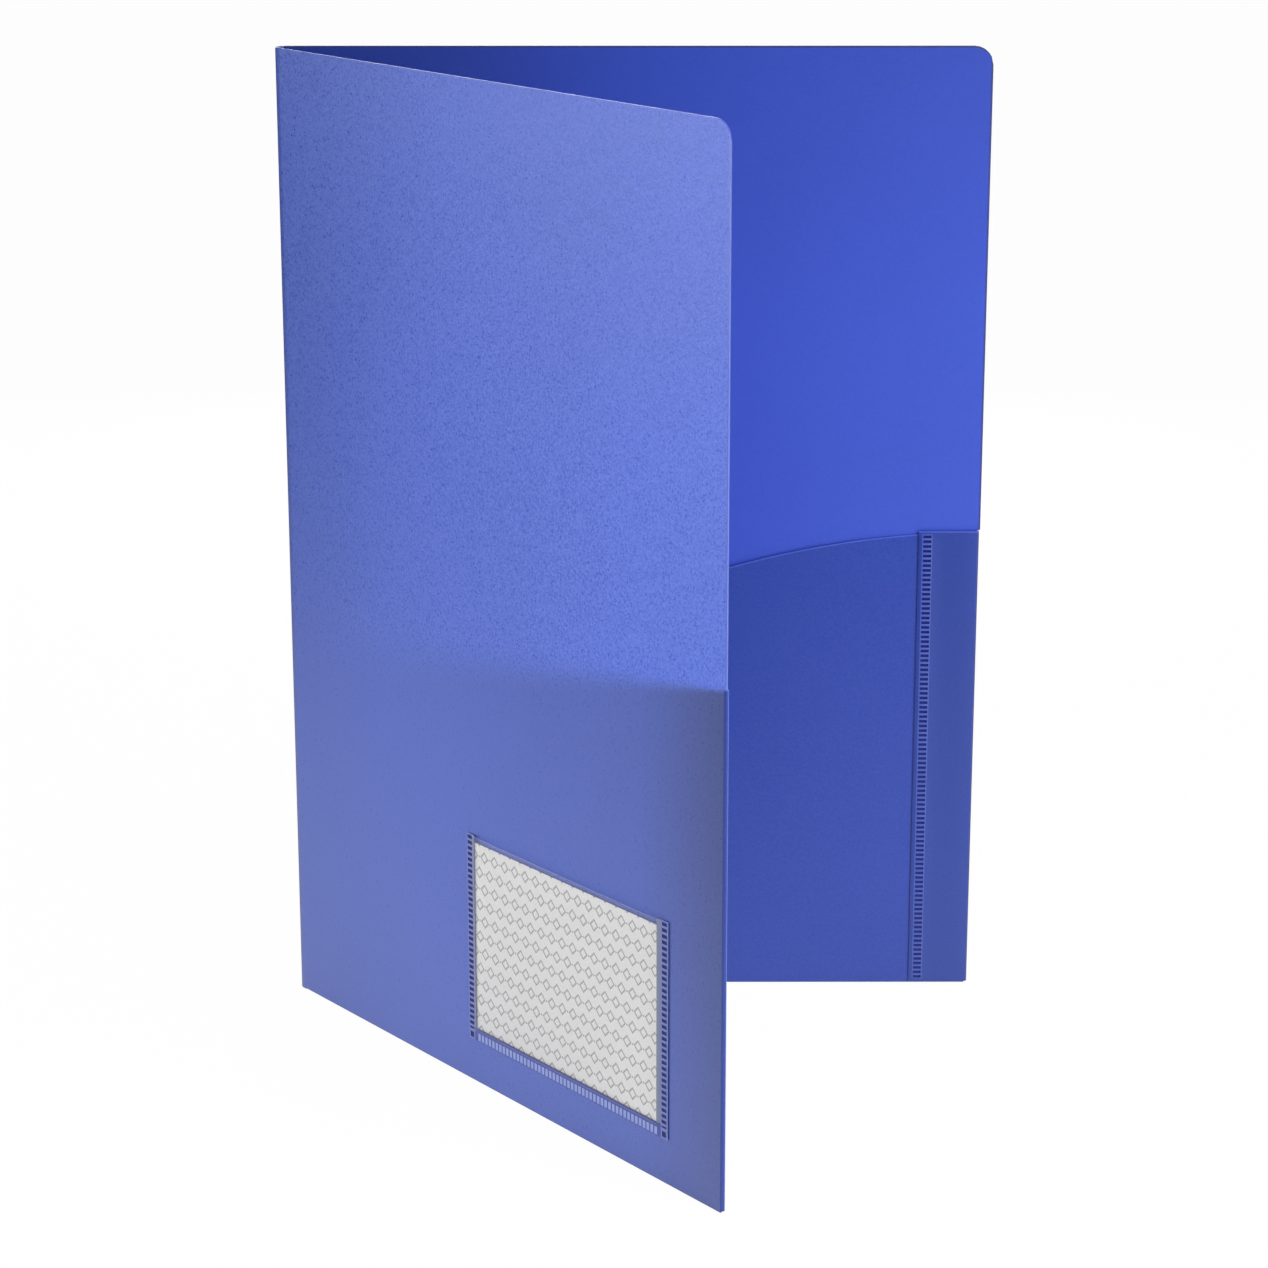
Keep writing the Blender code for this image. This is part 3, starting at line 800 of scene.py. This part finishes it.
# Painted reflection: for glossy rays the table glows white near the folder, fading with distance
near = add(white, "MapRange", {
    "Value": away, 1: REFLECTED_GLOW_FROM, 2: REFLECTED_GLOW_TO, 3: TABLE_REFLECTED_GLOW, 4: 0.0}, interpolation_type="SMOOTHSTEP")
reflected_glow = add(white, "Math", {0: near, 1: ray["Is Glossy Ray"]}, operation="MULTIPLY")
share = add(white, "Math", {0: seen, 1: reflected_glow}, operation="MAXIMUM")
finish_material(white, add(white, "MixShader", {0: share, 1: lit, 2: glow}))
table = piece("white_table", table_mesh, Matrix.Translation((0, 0, -TABLE_DROP)), [white])

world = bpy.data.worlds.new("studio_surround")
bpy.context.scene.world = world
world.use_nodes = True
world.node_tree.nodes.clear()
soft = add(world, "Background", {"Color": linear("#FFFFFF"), "Strength": SURROUND_LIGHT})
pure = add(world, "Background", {"Color": linear("#FFFFFF"), "Strength": 1.0})
sight = add(world, "LightPath").outputs["Is Camera Ray"]
add(world, "OutputWorld", {"Surface": add(world, "MixShader", {0: sight, 1: soft, 2: pure})})


def softbox(name, place, target, size, power):
    light = bpy.data.lights.new(name, "AREA")
    light.shape = "DISK"
    light.size = size
    light.energy = power
    obj = bpy.data.objects.new(name, light)
    bpy.context.scene.collection.objects.link(obj)
    obj.location = place
    obj.rotation_euler = (Vector(target) - Vector(place)).to_track_quat("-Z", "Y").to_euler()


# Name, place, aim, width and power. The left three give the front cover its sheen, the right one lights the inside,
# and the two over the table keep it white in front of the folder. The last two fill from behind and above.
softbox("left_softbox", (-0.87, -0.04, 0.25), (0.0, 0.0, 0.2), 0.25, 2.0)
softbox("upper_left_softbox", (-0.87, 0.2, 0.36), (-0.05, 0.0, 0.3), 0.2, 0.4)
softbox("front_left_softbox", (-0.6, -0.5, 0.15), (0.0, 0.0, 0.15), 0.35, 0.95)
softbox("right_softbox", (0.95, -0.75, 0.25), (0.06, 0.08, 0.12), 0.4, 4.2)
softbox("front_table_softbox", (0.35, -0.4, 0.5), (0.25, -0.35, 0.0), 0.3, 1.9)
softbox("right_table_softbox", (0.3, -0.2, 0.33), (0.3, -0.2, 0.0), 0.2, 1.0)
softbox("back_softbox", (0.0, 1.0, 0.3), (0.0, 0.09, 0.15), 0.5, 4.0)
softbox("overhead_softbox", (0.0, -0.1, 1.1), (0.0, -0.1, 0.0), 0.6, 4.0)


# The camera
#
# A plain stills camera on a tripod, 1.1 m from the folder and square to its back cover, that looks 16 degrees down.

PITCH = math.radians(15.984)
YAW = math.radians(0.123)
DISTANCE = 1.1005
LENS = 96.3
SENSOR = 36.0
AIM = (-0.000405, 0.0885206, 0.12085)

lens = bpy.data.cameras.new("camera")
lens.lens = LENS
lens.sensor_width = SENSOR
camera = bpy.data.objects.new("camera", lens)
bpy.context.scene.collection.objects.link(camera)
ahead = Vector((math.cos(PITCH) * math.sin(YAW), math.cos(PITCH) * math.cos(YAW), -math.sin(PITCH)))
camera.location = Vector(AIM) - DISTANCE * ahead
camera.rotation_euler = ahead.to_track_quat("-Z", "Y").to_euler()
bpy.context.scene.camera = camera
bpy.context.scene.view_settings.view_transform = "Standard"
